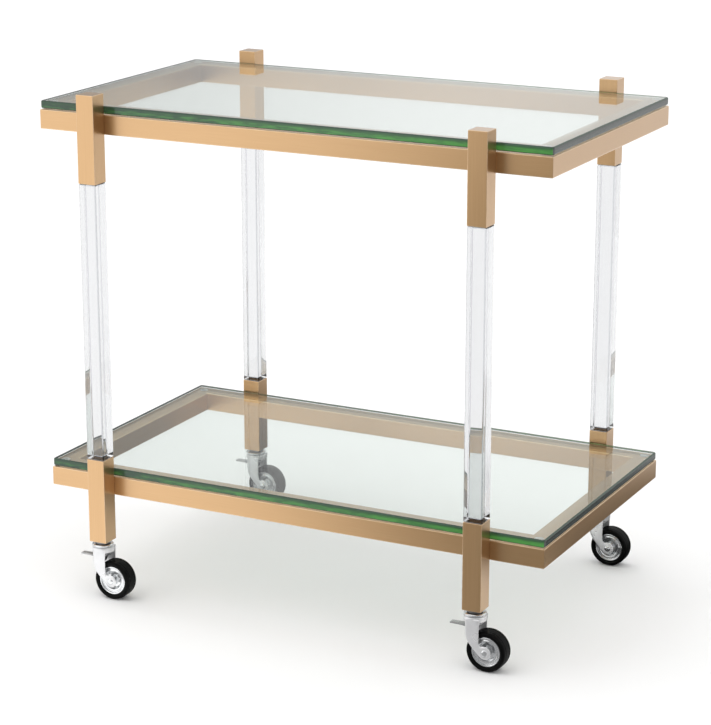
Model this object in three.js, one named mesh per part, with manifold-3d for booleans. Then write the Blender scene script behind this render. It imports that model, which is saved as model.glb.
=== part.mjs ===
// A bar cart on wheels: two rectangular brass tube frames, each carrying a clear glass shelf, joined
// by four posts that stand outside the long sides. Each post is a brass block at the top, a clear
// acrylic bar and a brass block at the bottom, and runs on a swivel caster with a foot brake.
// Millimetres, +Z up, +X along the cart. The origin is on the floor under the middle of the cart.

import * as THREE from "three";
import { mergeVertices } from "three/addons/utils/BufferGeometryUtils.js";
import Module from "manifold-3d";

const wasm = await Module();
wasm.setup();

// ---------------------------------------------------------------- driving dimensions
const FRAME_LENGTH = 840; // outside length of both shelf frames, along X
const FRAME_DEPTH = 462; // outside depth of both shelf frames, along Y
const SHELF_PITCH = 570; // height from the lower frame to the top frame

const RAIL_SIZE = 30; // side of the square brass tube
const RAIL_WALL = 2; // its wall
const RAIL_EDGE = 1.2; // its rounded long edges
const TOUCH_GAP = 0.3; // gap left between pieces that touch

const GLASS_THICKNESS = 12;
const GLASS_CORNER = 5; // radius of the plate's corners, seen from above
const GLASS_EDGE = 2; // bevel of the polished edge
const PAD_DIAMETER = 14; // clear bumper under each corner of the glass
const PAD_STANDOFF = 1.5; // what the bumper lifts the glass off the rail

const POST_SIZE = 30; // side of the brass blocks and the acrylic bars
const POST_INSET = 100; // post centre from the frame's end
const BLOCK_ABOVE = 63; // block's reach above the underside of its rail
const BLOCK_BELOW = 72; // and below it
const BLOCK_WALL = 3;
const BLOCK_CAP = 4; // closed upper end of a top block
const BLOCK_FOOT = 14; // closed lower end of a lower block, bored for the caster
const BLOCK_EDGE = 0.8;
const BAR_EDGE = 2.5; // bevel at both ends and along the edges of an acrylic bar
const SPIGOT_LENGTH = 25; // the bar's reduced end inside a block

const WHEEL_DIAMETER = 62;
const TYRE_WIDTH = 26;
const TRAIL = 22; // axle behind the swivel axis
const SWIVEL_STACK = 30; // from the top of the wheel to the underside of the post
const CROWN_THICKNESS = 3;
const RING_HEIGHT = 4.2;
const RING_DIAMETER = 34;
const NECK_DIAMETER = 24;
const NECK_HEIGHT = 3.9;
const KINGPIN_DIAMETER = 10;
const KINGPIN_HEAD = 14;
const AXLE_DIAMETER = 6;
const AXLE_HEAD = 11;
const LEG_THICKNESS = 2.5;
const LEG_WIDTH = 21.5;
const LEG_BOSS = 10; // radius of the leg's round end at the axle
const WEB_THICKNESS = 1.6; // short plate closing the back of the fork under its crown
const TYRE_TO_LEG = 1; // clearance beside the tyre
const RUNNING_GAP = 0.1; // radial clearance of a turning pin
const LEVER_WIDTH = 16;
const LEVER_REACH = 38.5; // tread tab's end from the swivel axis
const LEVER_PIN = 5;
const SHOE_GAP = 1.65; // middle of the brake shoe to the tyre when released
const SHOE_LEAN = 0.35; // the shoe's far end stands off more, so that it closes evenly

// ---------------------------------------------------------------- derived sizes
const CASTER_HEIGHT = WHEEL_DIAMETER + SWIVEL_STACK;
const BLOCK_LENGTH = BLOCK_ABOVE + BLOCK_BELOW;
const LOWER_RAIL_Z = CASTER_HEIGHT + BLOCK_BELOW;
const TOP_RAIL_Z = LOWER_RAIL_Z + SHELF_PITCH;
const POST_X = FRAME_LENGTH / 2 - POST_INSET;
const POST_Y = FRAME_DEPTH / 2 + TOUCH_GAP + POST_SIZE / 2;
const SOCKET_SIZE = POST_SIZE - 2 * BLOCK_WALL;

// ---------------------------------------------------------------- finishes
const brass = { color: 0xc9935a, roughness: 0.34, metalness: 1 };
const clearGlass = { color: 0xdff0e6, roughness: 0.04, metalness: 0, transparent: true, opacity: 0.3 };
const clearAcrylic = { color: 0xf2f6f8, roughness: 0.05, metalness: 0, transparent: true, opacity: 0.35 };
const clearPad = { color: 0xe8ecec, roughness: 0.4, metalness: 0, transparent: true, opacity: 0.6 };
const chrome = { color: 0xd4d7da, roughness: 0.12, metalness: 1 };
const steel = { color: 0x6f7174, roughness: 0.35, metalness: 1 };
const rubber = { color: 0x151515, roughness: 0.75, metalness: 0 };

// ---------------------------------------------------------------- solid helpers
function toSolid(geometry) {
  const plain = geometry.clone();
  plain.deleteAttribute("normal");
  plain.deleteAttribute("uv");
  const merged = mergeVertices(plain, 1e-3);
  return new wasm.Manifold(
    new wasm.Mesh({
      numProp: 3,
      vertProperties: merged.attributes.position.array,
      triVerts: new Uint32Array(merged.index.array),
    }),
  );
}

function toGeometry(solid) {
  const mesh = solid.getMesh();
  const geometry = new THREE.BufferGeometry();
  geometry.setAttribute("position", new THREE.BufferAttribute(mesh.vertProperties, 3));
  geometry.setIndex(new THREE.BufferAttribute(mesh.triVerts, 1));
  geometry.computeVertexNormals();
  return geometry;
}

function box(x, y, z, cx, cy, cz) {
  return toSolid(new THREE.BoxGeometry(x, y, z).translate(cx, cy, cz));
}

// A round rod or hole along Z.
function rodZ(diameter, low, high, sides) {
  const rod = new THREE.CylinderGeometry(diameter / 2, diameter / 2, high - low, sides);
  return toSolid(rod.rotateX(Math.PI / 2).translate(0, 0, (low + high) / 2));
}

// A round rod or hole along Y through the point (x, z), centred on the middle plane.
function rodY(diameter, length, x, z, sides) {
  return toSolid(new THREE.CylinderGeometry(diameter / 2, diameter / 2, length, sides).translate(x, 0, z));
}

function roundedRectangle(width, depth, radius) {
  const shape = new THREE.Shape();
  const x = width / 2 - radius;
  const y = depth / 2 - radius;
  shape.absarc(x, -y, radius, -Math.PI / 2, 0, false);
  shape.absarc(x, y, radius, 0, Math.PI / 2, false);
  shape.absarc(-x, y, radius, Math.PI / 2, Math.PI, false);
  shape.absarc(-x, -y, radius, Math.PI, Math.PI * 1.5, false);
  shape.closePath();
  return shape;
}

// A bar or plate with its outline in XY, rising from z = 0, all its edges bevelled.
function bevelledSlab(width, depth, height, corner, edge, arcSteps, edgeSteps) {
  return new THREE.ExtrudeGeometry(roundedRectangle(width - 2 * edge, depth - 2 * edge, corner), {
    depth: height - 2 * edge,
    bevelThickness: edge,
    bevelSize: edge,
    bevelSegments: edgeSteps,
    curveSegments: arcSteps,
  }).translate(0, 0, edge);
}

// A shape drawn in X and Z, given a width along Y about the middle plane.
function plateXZ(shape, width, curveSegments) {
  const slab = new THREE.ExtrudeGeometry(shape, { depth: width, bevelEnabled: false, curveSegments });
  return toSolid(slab.translate(0, 0, -width / 2).rotateX(Math.PI / 2));
}

// A turned piece: profile points are [radius, height], running up the outside.
function turned(profile, sides) {
  const points = profile.map(([radius, height]) => new THREE.Vector2(radius, height));
  return new THREE.LatheGeometry(points, sides);
}

const cart = new THREE.Group();

function add(name, geometry, finish, parent = cart) {
  const mesh = new THREE.Mesh(geometry, new THREE.MeshStandardMaterial(finish));
  mesh.name = name;
  parent.add(mesh);
  return mesh;
}

// ---------------------------------------------------------------- shelf frames
// Each frame is four square tubes, mitred at the corners. The tubes stay open inside the mitre.
function mitredTube(length) {
  const outline = roundedRectangle(RAIL_SIZE, RAIL_SIZE, RAIL_EDGE);
  const inside = RAIL_SIZE - 2 * RAIL_WALL;
  outline.holes.push(roundedRectangle(inside, inside, 0.4));
  const tube = new THREE.ExtrudeGeometry(outline, { depth: length, bevelEnabled: false, curveSegments: 1 });
  let solid = toSolid(tube.translate(0, 0, -length / 2).rotateY(Math.PI / 2));
  // The cutting blocks are turned 45 degrees; the long side of the tube faces -Y.
  const cutter = RAIL_SIZE * 3;
  const cutBack = TOUCH_GAP / Math.SQRT2;
  for (const end of [-1, 1]) {
    const block = new THREE.BoxGeometry(cutter, cutter, cutter)
      .translate(cutter / 2, 0, 0)
      .rotateZ(Math.PI / 2 - (end * Math.PI) / 4)
      .translate(end * (length / 2 - cutBack), -RAIL_SIZE / 2, 0);
    solid = solid.subtract(toSolid(block));
  }
  return toGeometry(solid);
}

const longTube = mitredTube(FRAME_LENGTH);
const shortTube = mitredTube(FRAME_DEPTH);
const railSides = [
  ["front", longTube, 0, 0, -(FRAME_DEPTH - RAIL_SIZE) / 2],
  ["right", shortTube, Math.PI / 2, (FRAME_LENGTH - RAIL_SIZE) / 2, 0],
  ["back", longTube, Math.PI, 0, (FRAME_DEPTH - RAIL_SIZE) / 2],
  ["left", shortTube, -Math.PI / 2, -(FRAME_LENGTH - RAIL_SIZE) / 2, 0],
];

// The glass has the frame's own outline and lies on four small clear bumpers over the mitres.
const plate = bevelledSlab(FRAME_LENGTH, FRAME_DEPTH, GLASS_THICKNESS, GLASS_CORNER, GLASS_EDGE, 3, 2);
const padThickness = PAD_STANDOFF - 2 * TOUCH_GAP;
const pad = new THREE.CylinderGeometry(PAD_DIAMETER / 2, PAD_DIAMETER / 2, padThickness, 16);
pad.rotateX(Math.PI / 2);

const ends = [
  ["left", -1],
  ["right", 1],
];
const sides = [
  ["front", -1],
  ["back", 1],
];

for (const [level, railZ] of [["lower", LOWER_RAIL_Z], ["top", TOP_RAIL_Z]]) {
  for (const [side, tube, turn, x, y] of railSides) {
    const rail = add(`${level}_rail_${side}`, tube, brass);
    rail.position.set(x, y, railZ + RAIL_SIZE / 2);
    rail.rotation.z = turn;
  }
  const railTop = railZ + RAIL_SIZE;
  add(`${level}_glass`, plate, clearGlass).position.z = railTop + PAD_STANDOFF;
  for (const [side, sy] of sides) {
    for (const [end, sx] of ends) {
      const bumper = add(`${level}_pad_${side}_${end}`, pad, clearPad);
      const x = (sx * (FRAME_LENGTH - RAIL_SIZE)) / 2;
      const y = (sy * (FRAME_DEPTH - RAIL_SIZE)) / 2;
      bumper.position.set(x, y, railTop + PAD_STANDOFF / 2);
    }
  }
}

// ---------------------------------------------------------------- posts
// Blocks are square brass tube with one end closed. The acrylic bar's reduced ends plug into them.
function topBlock() {
  const outside = toSolid(bevelledSlab(POST_SIZE, POST_SIZE, BLOCK_LENGTH, 0.6, BLOCK_EDGE, 1, 1));
  const depth = BLOCK_LENGTH - BLOCK_CAP;
  return toGeometry(outside.subtract(box(SOCKET_SIZE, SOCKET_SIZE, depth + 1, 0, 0, (depth - 1) / 2)));
}

function lowerBlock() {
  const outside = toSolid(bevelledSlab(POST_SIZE, POST_SIZE, BLOCK_LENGTH, 0.6, BLOCK_EDGE, 1, 1));
  const depth = BLOCK_LENGTH - BLOCK_FOOT;
  const hollow = box(SOCKET_SIZE, SOCKET_SIZE, depth + 1, 0, 0, BLOCK_FOOT + (depth + 1) / 2);
  const bore = rodZ(KINGPIN_DIAMETER + 2 * TOUCH_GAP, -1, BLOCK_FOOT + 1, 16);
  return toGeometry(outside.subtract(hollow).subtract(bore));
}

function acrylicBar() {
  const length = SHELF_PITCH - BLOCK_LENGTH - 2 * TOUCH_GAP;
  const body = toSolid(bevelledSlab(POST_SIZE, POST_SIZE, length, 0.6, BAR_EDGE, 1, 1));
  const side = SOCKET_SIZE - 2 * TOUCH_GAP;
  const spigot = box(side, side, length + 2 * SPIGOT_LENGTH, 0, 0, length / 2);
  return toGeometry(body.add(spigot));
}

const topBlockShape = topBlock();
const lowerBlockShape = lowerBlock();
const acrylicBarShape = acrylicBar();

// ---------------------------------------------------------------- swivel casters
// Local frame: swivel axis up Z from the floor, wheel trailing towards +X, axle along Y.
const axleZ = WHEEL_DIAMETER / 2;
const crownTop = CASTER_HEIGHT - TOUCH_GAP - NECK_HEIGHT - TOUCH_GAP - RING_HEIGHT - TOUCH_GAP;
const crownBottom = crownTop - CROWN_THICKNESS;
const legInside = TYRE_WIDTH / 2 + TYRE_TO_LEG;
const legOutside = legInside + LEG_THICKNESS;
const legLeft = TRAIL - WHEEL_DIAMETER / 2;
const legRight = legLeft + LEG_WIDTH;

// A turned pin: screwed into the post, a dark neck under the post, and a riveted head that carries
// the fork.
function casterStem() {
  const pin = KINGPIN_DIAMETER / 2;
  const headTop = crownBottom - TOUCH_GAP;
  const neckTop = CASTER_HEIGHT - TOUCH_GAP;
  const screwTop = CASTER_HEIGHT + BLOCK_FOOT + 6;
  return turned(
    [
      [0, headTop - 3.2],
      [KINGPIN_HEAD / 2 - 1.2, headTop - 3.2],
      [KINGPIN_HEAD / 2, headTop - 2],
      [KINGPIN_HEAD / 2, headTop],
      [pin, headTop],
      [pin, neckTop - NECK_HEIGHT],
      [NECK_DIAMETER / 2, neckTop - NECK_HEIGHT],
      [NECK_DIAMETER / 2, neckTop],
      [pin, neckTop],
      [pin, screwTop - 1],
      [pin - 1, screwTop],
      [0, screwTop],
    ],
    14,
  );
}

// The chrome bearing ring between the neck and the fork's crown.
function casterRing() {
  const low = crownTop + TOUCH_GAP;
  const high = low + RING_HEIGHT;
  const bore = KINGPIN_DIAMETER / 2 + TOUCH_GAP;
  const rim = RING_DIAMETER / 2;
  return turned(
    [
      [bore, low],
      [rim - 1, low],
      [rim, low + 1.2],
      [rim, high - 1.6],
      [rim - 2, high],
      [bore, high],
      [bore, low],
    ],
    24,
  );
}

// One side of the fork: straight down beside the wheel, then sweeping under to the axle.
function legOutline() {
  const shape = new THREE.Shape();
  const startAngle = (225 * Math.PI) / 180;
  const endAngle = (480 * Math.PI) / 180;
  const diagonal = LEG_BOSS / Math.SQRT2;
  shape.moveTo(legLeft, crownTop);
  shape.lineTo(legLeft, axleZ + 0.84 * axleZ);
  shape.bezierCurveTo(
    legLeft,
    axleZ + 0.48 * axleZ,
    TRAIL - diagonal - 10,
    axleZ - diagonal + 10,
    TRAIL - diagonal,
    axleZ - diagonal,
  );
  shape.absarc(TRAIL, axleZ, LEG_BOSS, startAngle, endAngle, false);
  shape.bezierCurveTo(
    TRAIL - LEG_BOSS,
    axleZ + 0.85 * LEG_BOSS,
    legRight,
    axleZ + 1.4 * LEG_BOSS,
    legRight,
    axleZ + 2.4 * LEG_BOSS,
  );
  shape.quadraticCurveTo(legRight, crownBottom - 8, legRight + 4, crownTop);
  shape.closePath();
  return shape;
}

const pivotX = TRAIL - 13;
const pivotZ = WHEEL_DIAMETER + 9;

function casterFork() {
  const crownMiddle = (crownTop + crownBottom) / 2;
  const crownLength = LEG_WIDTH + 4;
  const disc = rodZ(2 * legOutside + 1, crownBottom, crownTop, 28);
  const flange = box(crownLength, 2 * legOutside, CROWN_THICKNESS, legLeft + crownLength / 2, 0, crownMiddle);
  const cheeks = plateXZ(legOutline(), 2 * legOutside, 5);
  const wheelSpace = box(200, 2 * legInside, crownBottom, 0, 0, crownBottom / 2);
  const webTop = crownBottom + 1;
  const webBottom = pivotZ + 2;
  const webX = legLeft + WEB_THICKNESS / 2;
  const webHeight = webTop - webBottom;
  const web = box(WEB_THICKNESS, 2 * legInside + 1, webHeight, webX, 0, webBottom + webHeight / 2);
  return toGeometry(
    cheeks
      .subtract(wheelSpace)
      .add(disc)
      .add(flange)
      .add(web)
      .subtract(rodZ(KINGPIN_DIAMETER + 2 * RUNNING_GAP, crownBottom - 1, crownTop + 1, 28))
      .subtract(rodY(AXLE_DIAMETER + 2 * RUNNING_GAP, 4 * legOutside, TRAIL, axleZ, 14))
      .subtract(rodY(LEVER_PIN + 2 * RUNNING_GAP, 4 * legOutside, pivotX, pivotZ, 12)),
  );
}

function casterAxle() {
  const half = legOutside + TOUCH_GAP;
  const pin = AXLE_DIAMETER / 2;
  const head = AXLE_HEAD / 2;
  return turned(
    [
      [0, -half - 2.2],
      [head - 1.5, -half - 2.2],
      [head, -half - 1],
      [head, -half],
      [pin, -half],
      [pin, half],
      [head, half],
      [head, half + 1],
      [head - 1.5, half + 2.2],
      [0, half + 2.2],
    ],
    14,
  ).translate(TRAIL, 0, axleZ);
}

// Pressed wheel centre with a raised rim and a dished face, running on the axle.
const hubRadius = WHEEL_DIAMETER / 2 - 8;

function casterHub() {
  const bore = AXLE_DIAMETER / 2 + RUNNING_GAP;
  const face = TYRE_WIDTH / 2 - 2.5;
  const boss = legInside - TOUCH_GAP;
  return turned(
    [
      [bore, -boss],
      [bore + 3, -boss],
      [bore + 3, -face + 1.5],
      [hubRadius - 6, -face + 1.5],
      [hubRadius - 4, -face],
      [hubRadius, -face],
      [hubRadius, face],
      [hubRadius - 4, face],
      [hubRadius - 6, face - 1.5],
      [bore + 3, face - 1.5],
      [bore + 3, boss],
      [bore, boss],
      [bore, -boss],
    ],
    24,
  ).translate(TRAIL, 0, axleZ);
}

function casterTyre() {
  const inner = hubRadius + TOUCH_GAP;
  const outer = WHEEL_DIAMETER / 2;
  const half = TYRE_WIDTH / 2;
  return turned(
    [
      [inner, -half + 1.5],
      [inner + 1.5, -half],
      [outer - 3, -half],
      [outer - 0.8, -half + 1.8],
      [outer, -half + 4.5],
      [outer, half - 4.5],
      [outer - 0.8, half - 1.8],
      [outer - 3, half],
      [inner + 1.5, half],
      [inner, half - 1.5],
      [inner, -half + 1.5],
    ],
    32,
  ).translate(TRAIL, 0, axleZ);
}

// A pressed lever on its own cross pin. Treading the tab down swings the shoe onto the tyre.
function brakeLever() {
  const onTyre = (degrees, gap) => {
    const angle = (degrees * Math.PI) / 180;
    const radius = WHEEL_DIAMETER / 2 + gap;
    return [TRAIL + radius * Math.cos(angle), axleZ + radius * Math.sin(angle)];
  };
  const tabTop = pivotZ - 5;
  const shape = new THREE.Shape();
  shape.moveTo(-LEVER_REACH, tabTop - 2.4);
  shape.lineTo(-14, tabTop - 2);
  shape.lineTo(legLeft - 1, tabTop - 3);
  shape.lineTo(...onTyre(142, SHOE_GAP + SHOE_LEAN));
  shape.lineTo(...onTyre(135, SHOE_GAP));
  shape.lineTo(...onTyre(128, SHOE_GAP - SHOE_LEAN));
  shape.lineTo(pivotX - 4, pivotZ - 4);
  shape.lineTo(pivotX, pivotZ - 4.2);
  shape.lineTo(pivotX + 4, pivotZ);
  shape.lineTo(pivotX, pivotZ + 4);
  shape.lineTo(pivotX - 6, pivotZ + 2);
  shape.lineTo(-14, tabTop + 0.6);
  shape.lineTo(-LEVER_REACH, tabTop);
  shape.closePath();
  const pin = rodY(LEVER_PIN, 2 * legOutside - 0.4, pivotX, pivotZ, 12);
  return toGeometry(plateXZ(shape, LEVER_WIDTH, 1).add(pin));
}

const casterPieces = [
  ["caster_stem", casterStem().rotateX(Math.PI / 2), steel],
  ["caster_ring", casterRing().rotateX(Math.PI / 2), chrome],
  ["fork", casterFork(), chrome],
  ["axle", casterAxle(), steel],
  ["hub", casterHub(), chrome],
  ["tyre", casterTyre(), rubber],
  ["brake_lever", brakeLever(), steel],
];

for (const [side, sy] of sides) {
  for (const [end, sx] of ends) {
    const corner = `${side}_${end}`;
    const post = new THREE.Group();
    post.position.set(sx * POST_X, sy * POST_Y, 0);
    cart.add(post);
    const barBottom = LOWER_RAIL_Z + BLOCK_ABOVE + TOUCH_GAP;
    add(`${corner}_lower_block`, lowerBlockShape, brass, post).position.z = CASTER_HEIGHT;
    add(`${corner}_acrylic_bar`, acrylicBarShape, clearAcrylic, post).position.z = barBottom;
    add(`${corner}_top_block`, topBlockShape, brass, post).position.z = TOP_RAIL_Z - BLOCK_BELOW;
    for (const [piece, shape, finish] of casterPieces) {
      add(`${corner}_${piece}`, shape, finish, post);
    }
  }
}

export default cart;
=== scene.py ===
from math import cos, pi, radians, sin

import bmesh
import bpy
from mathutils import Matrix, Vector


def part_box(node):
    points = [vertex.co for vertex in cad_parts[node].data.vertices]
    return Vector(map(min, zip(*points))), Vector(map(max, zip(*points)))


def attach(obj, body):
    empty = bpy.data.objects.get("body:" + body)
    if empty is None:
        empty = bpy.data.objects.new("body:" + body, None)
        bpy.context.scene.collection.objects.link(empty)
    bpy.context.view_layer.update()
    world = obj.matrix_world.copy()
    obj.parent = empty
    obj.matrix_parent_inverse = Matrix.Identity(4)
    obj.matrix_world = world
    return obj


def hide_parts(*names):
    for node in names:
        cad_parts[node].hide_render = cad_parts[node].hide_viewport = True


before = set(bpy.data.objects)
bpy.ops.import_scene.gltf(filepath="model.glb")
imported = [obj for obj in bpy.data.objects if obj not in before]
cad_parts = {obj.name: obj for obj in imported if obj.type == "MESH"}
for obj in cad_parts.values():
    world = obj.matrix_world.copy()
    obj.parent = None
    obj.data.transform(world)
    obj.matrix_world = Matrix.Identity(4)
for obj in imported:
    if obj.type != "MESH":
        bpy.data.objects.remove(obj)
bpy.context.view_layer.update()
MM = 0.001

# ------------------------------------------------------------------ camera, floor and light
# A long lens looks down from the front right on a pale floor, in a white room with a soft sun.
# Three cards show only in mirror-like surfaces: one in front shades from white at the left to grey
# at the right, one behind shades the other way, and a small dark one under the cart's back is
# painted shade, standing in for the shade beneath the cart.
CAMERA_PLACE = (1.6510, -3.2510, 1.3964)
CAMERA_TURN = radians(26.93)
CAMERA_DIP = radians(15.87)
LENS = 119.95
CAMERA_REACH = 200.0
FLOOR_REACH = 60.0
FLOOR_CLOUD = 0.6
FLOOR_PALE = (0.90, 0.90, 0.90, 1)
FLOOR_PALEST = (0.92, 0.92, 0.92, 1)
ROOM_WHITE = (1.0, 1.0, 1.0, 1.0)
ROOM_SHADE = (0.50, 0.50, 0.50, 1.0)
DIM_UP_TO = 0.28
WHITE_FROM = 0.62
ROOM_STRENGTH = 1.18
SUN_WAY = (0.55, 0.10, -0.83)
SUN_SOFTNESS = radians(70)
SUN_STRENGTH = 0.75
FRONT_CARD_NEAR = -0.28
FRONT_CARD_FAR = -1.5
FRONT_CARD_WIDTH = 5.0
FRONT_CARD_HEIGHT = 1.6
FRONT_CARD_BRIGHT = 1.45
FRONT_CARD_DIM = 0.36
FRONT_CARD_FADE = (1.67, -1.07, -1.1)
FRONT_CARD_FADE_START = 0.02
FRONT_CARD_FADE_END = 1.02
BACK_CARD_PLACE = 2.5
BACK_CARD_WIDTH = 8.0
BACK_CARD_HEIGHT = 3.0
BACK_CARD_DIM = 0.40
BACK_CARD_BRIGHT = 0.90
BACK_CARD_DIM_TO = -2.3
BACK_CARD_BRIGHT_FROM = -0.7
UNDER_CARD_LOW = (-0.60, 0.13)
UNDER_CARD_HIGH = (1.00, 1.15)
UNDER_CARD_MIDDLE = (0.20, 0.35, 0.0)
UNDER_CARD_DARK = 0.08
UNDER_CARD_EDGE = 0.90
UNDER_CARD_DARK_TO = 0.46
UNDER_CARD_FADED_BY = 0.72

scene = bpy.context.scene
scene.view_settings.view_transform = "Standard"

camera = bpy.data.objects.new("camera", bpy.data.cameras.new("camera"))
camera.location = CAMERA_PLACE
camera.rotation_euler = (pi / 2 - CAMERA_DIP, 0, CAMERA_TURN)
camera.data.lens = LENS
camera.data.clip_end = CAMERA_REACH
scene.collection.objects.link(camera)
scene.camera = camera


def new_material(name):
    """An empty node material with its output and one Principled shader."""
    material = bpy.data.materials.new(name)
    material.use_nodes = True
    nodes = material.node_tree.nodes
    nodes.clear()
    output = nodes.new("ShaderNodeOutputMaterial")
    shader = nodes.new("ShaderNodeBsdfPrincipled")
    material.node_tree.links.new(shader.outputs["BSDF"], output.inputs["Surface"])
    return material, nodes, material.node_tree.links, shader, output


def floor_paint():
    """Matt white paint with a faint cloud in it."""
    material, nodes, links, shader, output = new_material("floor_paint")
    cloud = nodes.new("ShaderNodeTexNoise")
    cloud.inputs["Scale"].default_value = FLOOR_CLOUD
    tone = nodes.new("ShaderNodeValToRGB")
    tone.color_ramp.elements[0].color = FLOOR_PALE
    tone.color_ramp.elements[1].color = FLOOR_PALEST
    where = nodes.new("ShaderNodeTexCoord")
    links.new(where.outputs["Object"], cloud.inputs["Vector"])
    links.new(cloud.outputs["Fac"], tone.inputs["Fac"])
    links.new(tone.outputs["Color"], shader.inputs["Base Color"])
    shader.inputs["Roughness"].default_value = 0.9
    shader.inputs["Specular IOR Level"].default_value = 0.1
    return material


floor_shape = bmesh.new()
bmesh.ops.create_grid(floor_shape, x_segments=1, y_segments=1, size=FLOOR_REACH)
floor_mesh = bpy.data.meshes.new("floor")
floor_shape.to_mesh(floor_mesh)
floor_shape.free()
floor_mesh.materials.append(floor_paint())
floor = bpy.data.objects.new("floor", floor_mesh)
scene.collection.objects.link(floor)

room = bpy.data.worlds.new("room")
scene.world = room
room.use_nodes = True
room_nodes = room.node_tree.nodes
room_links = room.node_tree.links
room_light = room_nodes["Background"]
room_way = room_nodes.new("ShaderNodeTexCoord")
room_parts = room_nodes.new("ShaderNodeSeparateXYZ")
room_tone = room_nodes.new("ShaderNodeValToRGB")
room_tone.color_ramp.interpolation = "EASE"
room_tone.color_ramp.elements[0].position = DIM_UP_TO
room_tone.color_ramp.elements[0].color = ROOM_SHADE
room_tone.color_ramp.elements[1].position = WHITE_FROM
room_tone.color_ramp.elements[1].color = ROOM_WHITE
room_links.new(room_way.outputs["Generated"], room_parts.inputs["Vector"])
room_links.new(room_parts.outputs["Z"], room_tone.inputs["Fac"])
room_links.new(room_tone.outputs["Color"], room_light.inputs["Color"])
room_light.inputs["Strength"].default_value = ROOM_STRENGTH

sun = bpy.data.objects.new("soft_sun", bpy.data.lights.new("soft_sun", "SUN"))
sun.data.energy = SUN_STRENGTH
sun.data.angle = SUN_SOFTNESS
sun.visible_glossy = False
sun.rotation_euler = Vector(SUN_WAY).to_track_quat("-Z", "Y").to_euler()
scene.collection.objects.link(sun)


def card_glow(name, measure, aim, near, far, near_glow, far_glow):
    """A glow that fades along a direction, or outwards from a point."""
    material = bpy.data.materials.new(name)
    material.use_nodes = True
    nodes = material.node_tree.nodes
    links = material.node_tree.links
    nodes.clear()
    output = nodes.new("ShaderNodeOutputMaterial")
    glow = nodes.new("ShaderNodeEmission")
    where = nodes.new("ShaderNodeTexCoord")
    fade = nodes.new("ShaderNodeVectorMath")
    fade.operation = measure
    fade.inputs[1].default_value = aim
    tone = nodes.new("ShaderNodeMapRange")
    tone.interpolation_type = "SMOOTHSTEP"
    tone.inputs["From Min"].default_value = near
    tone.inputs["From Max"].default_value = far
    tone.inputs["To Min"].default_value = near_glow
    tone.inputs["To Max"].default_value = far_glow
    links.new(where.outputs["Object"], fade.inputs[0])
    links.new(fade.outputs["Value"], tone.inputs["Value"])
    links.new(tone.outputs["Result"], glow.inputs["Strength"])
    links.new(glow.outputs["Emission"], output.inputs["Surface"])
    return material


def flat_card(low, high):
    """A rectangle on the floor between two corners."""
    shape = bmesh.new()
    bmesh.ops.create_grid(shape, x_segments=1, y_segments=1, size=0.5)
    size = (high[0] - low[0], high[1] - low[1], 1)
    middle = ((low[0] + high[0]) / 2, (low[1] + high[1]) / 2, MM)
    bmesh.ops.scale(shape, vec=size, verts=shape.verts)
    bmesh.ops.translate(shape, vec=middle, verts=shape.verts)
    return shape


def hang_card(name, shape, material):
    """Adds a card that only mirror-like surfaces see."""
    mesh = bpy.data.meshes.new(name)
    shape.to_mesh(mesh)
    shape.free()
    mesh.materials.append(material)
    card = bpy.data.objects.new(name, mesh)
    card.visible_camera = False
    card.visible_diffuse = False
    card.visible_transmission = False
    card.visible_shadow = False
    scene.collection.objects.link(card)


front_glow = card_glow(
    "front_glow",
    "DOT_PRODUCT",
    FRONT_CARD_FADE,
    FRONT_CARD_FADE_START,
    FRONT_CARD_FADE_END,
    FRONT_CARD_BRIGHT,
    FRONT_CARD_DIM,
)
front_card = flat_card(
    (-FRONT_CARD_WIDTH / 2, FRONT_CARD_FAR), (FRONT_CARD_WIDTH / 2, FRONT_CARD_NEAR)
)
far_edge = [
    edge for edge in front_card.edges if all(vert.co.y < FRONT_CARD_FAR + MM for vert in edge.verts)
]
raised = bmesh.ops.extrude_edge_only(front_card, edges=far_edge)["geom"]
raised_verts = [part for part in raised if isinstance(part, bmesh.types.BMVert)]
bmesh.ops.translate(front_card, vec=(0, 0, FRONT_CARD_HEIGHT), verts=raised_verts)
hang_card("front_card", front_card, front_glow)

back_glow = card_glow(
    "back_glow",
    "DOT_PRODUCT",
    (1, 0, 0),
    BACK_CARD_DIM_TO,
    BACK_CARD_BRIGHT_FROM,
    BACK_CARD_DIM,
    BACK_CARD_BRIGHT,
)
back_card = flat_card((-BACK_CARD_WIDTH / 2, 0), (BACK_CARD_WIDTH / 2, BACK_CARD_HEIGHT))
bmesh.ops.rotate(back_card, matrix=Matrix.Rotation(pi / 2, 3, "X"), verts=back_card.verts)
bmesh.ops.translate(back_card, vec=(0, BACK_CARD_PLACE, 0), verts=back_card.verts)
hang_card("back_card", back_card, back_glow)

# Painted shade: the under card is darkest round a point under the cart, brightens towards its edges,
# and shows only in reflections.
under_shade_glow = card_glow(
    "under_shade_glow",
    "DISTANCE",
    UNDER_CARD_MIDDLE,
    UNDER_CARD_DARK_TO,
    UNDER_CARD_FADED_BY,
    UNDER_CARD_DARK,
    UNDER_CARD_EDGE,
)
hang_card("under_card", flat_card(UNDER_CARD_LOW, UNDER_CARD_HIGH), under_shade_glow)

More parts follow.
